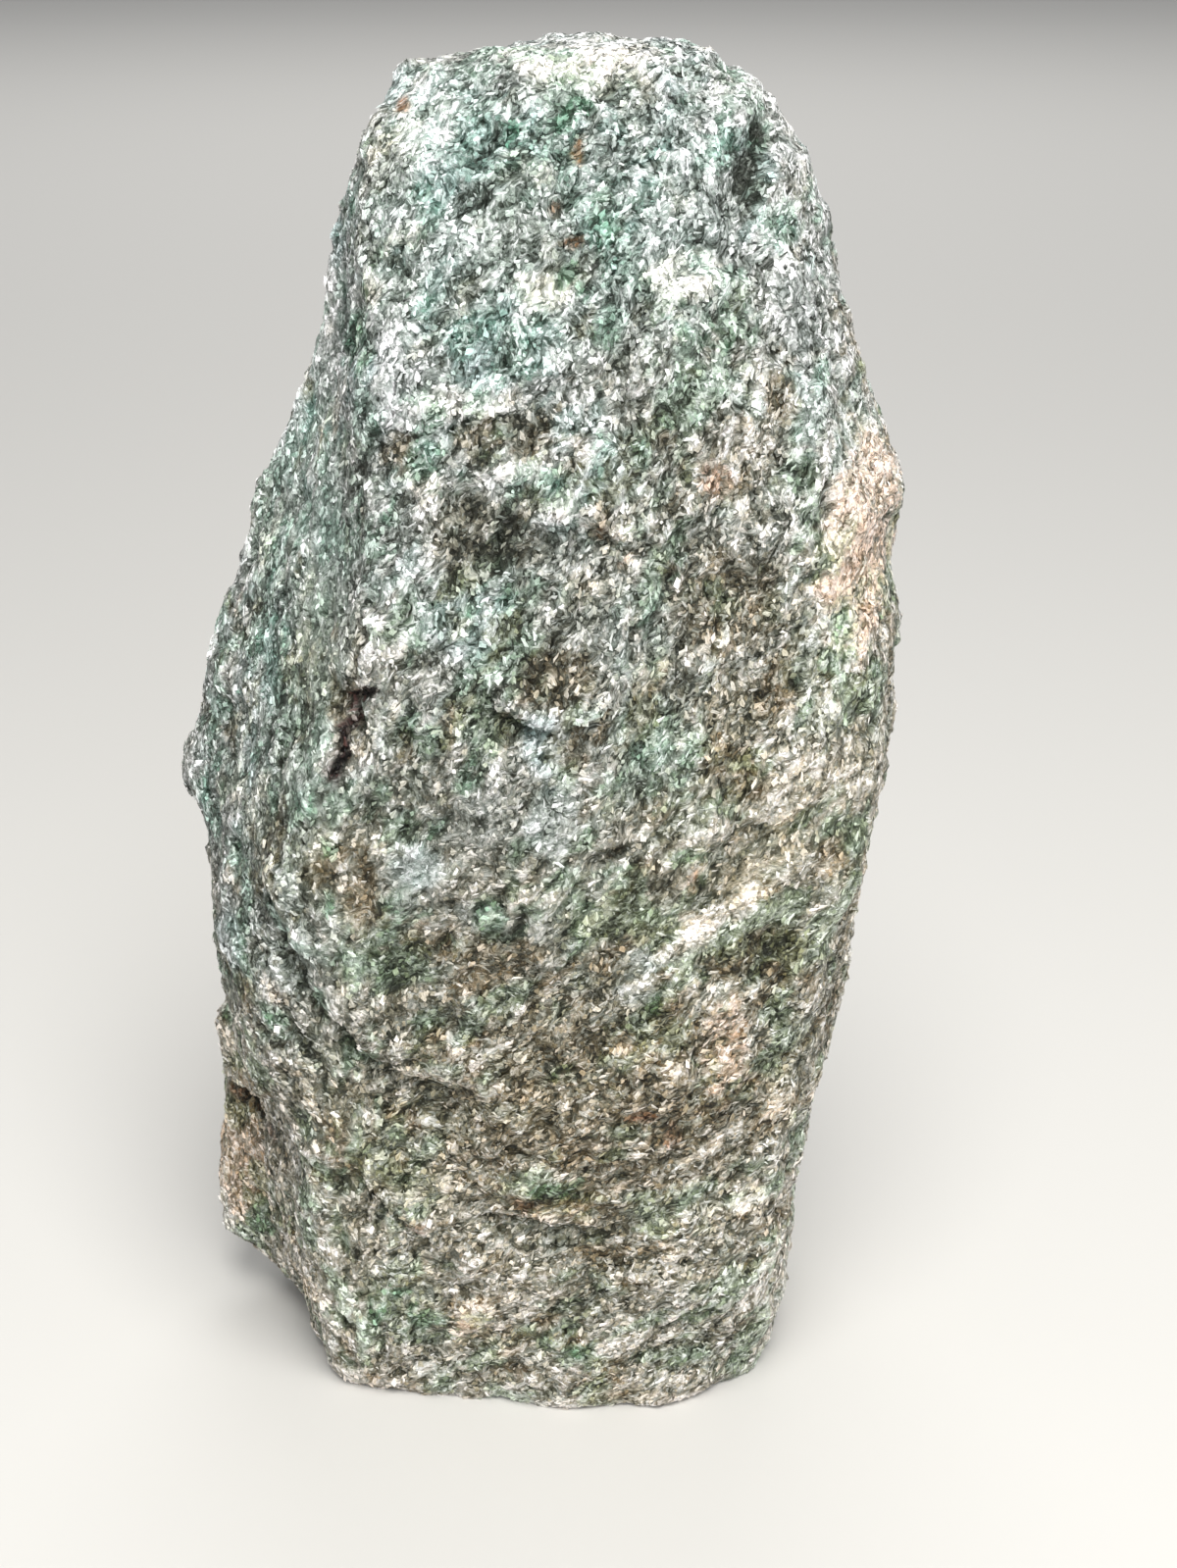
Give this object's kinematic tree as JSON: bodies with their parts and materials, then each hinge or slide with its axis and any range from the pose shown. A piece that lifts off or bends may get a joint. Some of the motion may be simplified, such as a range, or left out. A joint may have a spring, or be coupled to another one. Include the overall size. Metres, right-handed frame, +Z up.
{
  "type": "fuchsite boulder",
  "caption": "Rough upright boulder of green mica schist with broken ledges and hollows, standing on a small flat spot at its base.",
  "frame": {"origin": "middle of the boulder's box in plan, on the flat spot that it stands on", "axes": "+Z up along the boulder's length, -Y out of its broken front face, +X to its right as seen from the front"},
  "size_m": [0.15, 0.1112, 0.2793],
  "materials": {
    "fuchsite_schist": "rough broken schist with glinting mica flakes"
  },
  "bodies": {
    "root": {"boulder": "fuchsite_schist"}
  },
  "joints": []
}
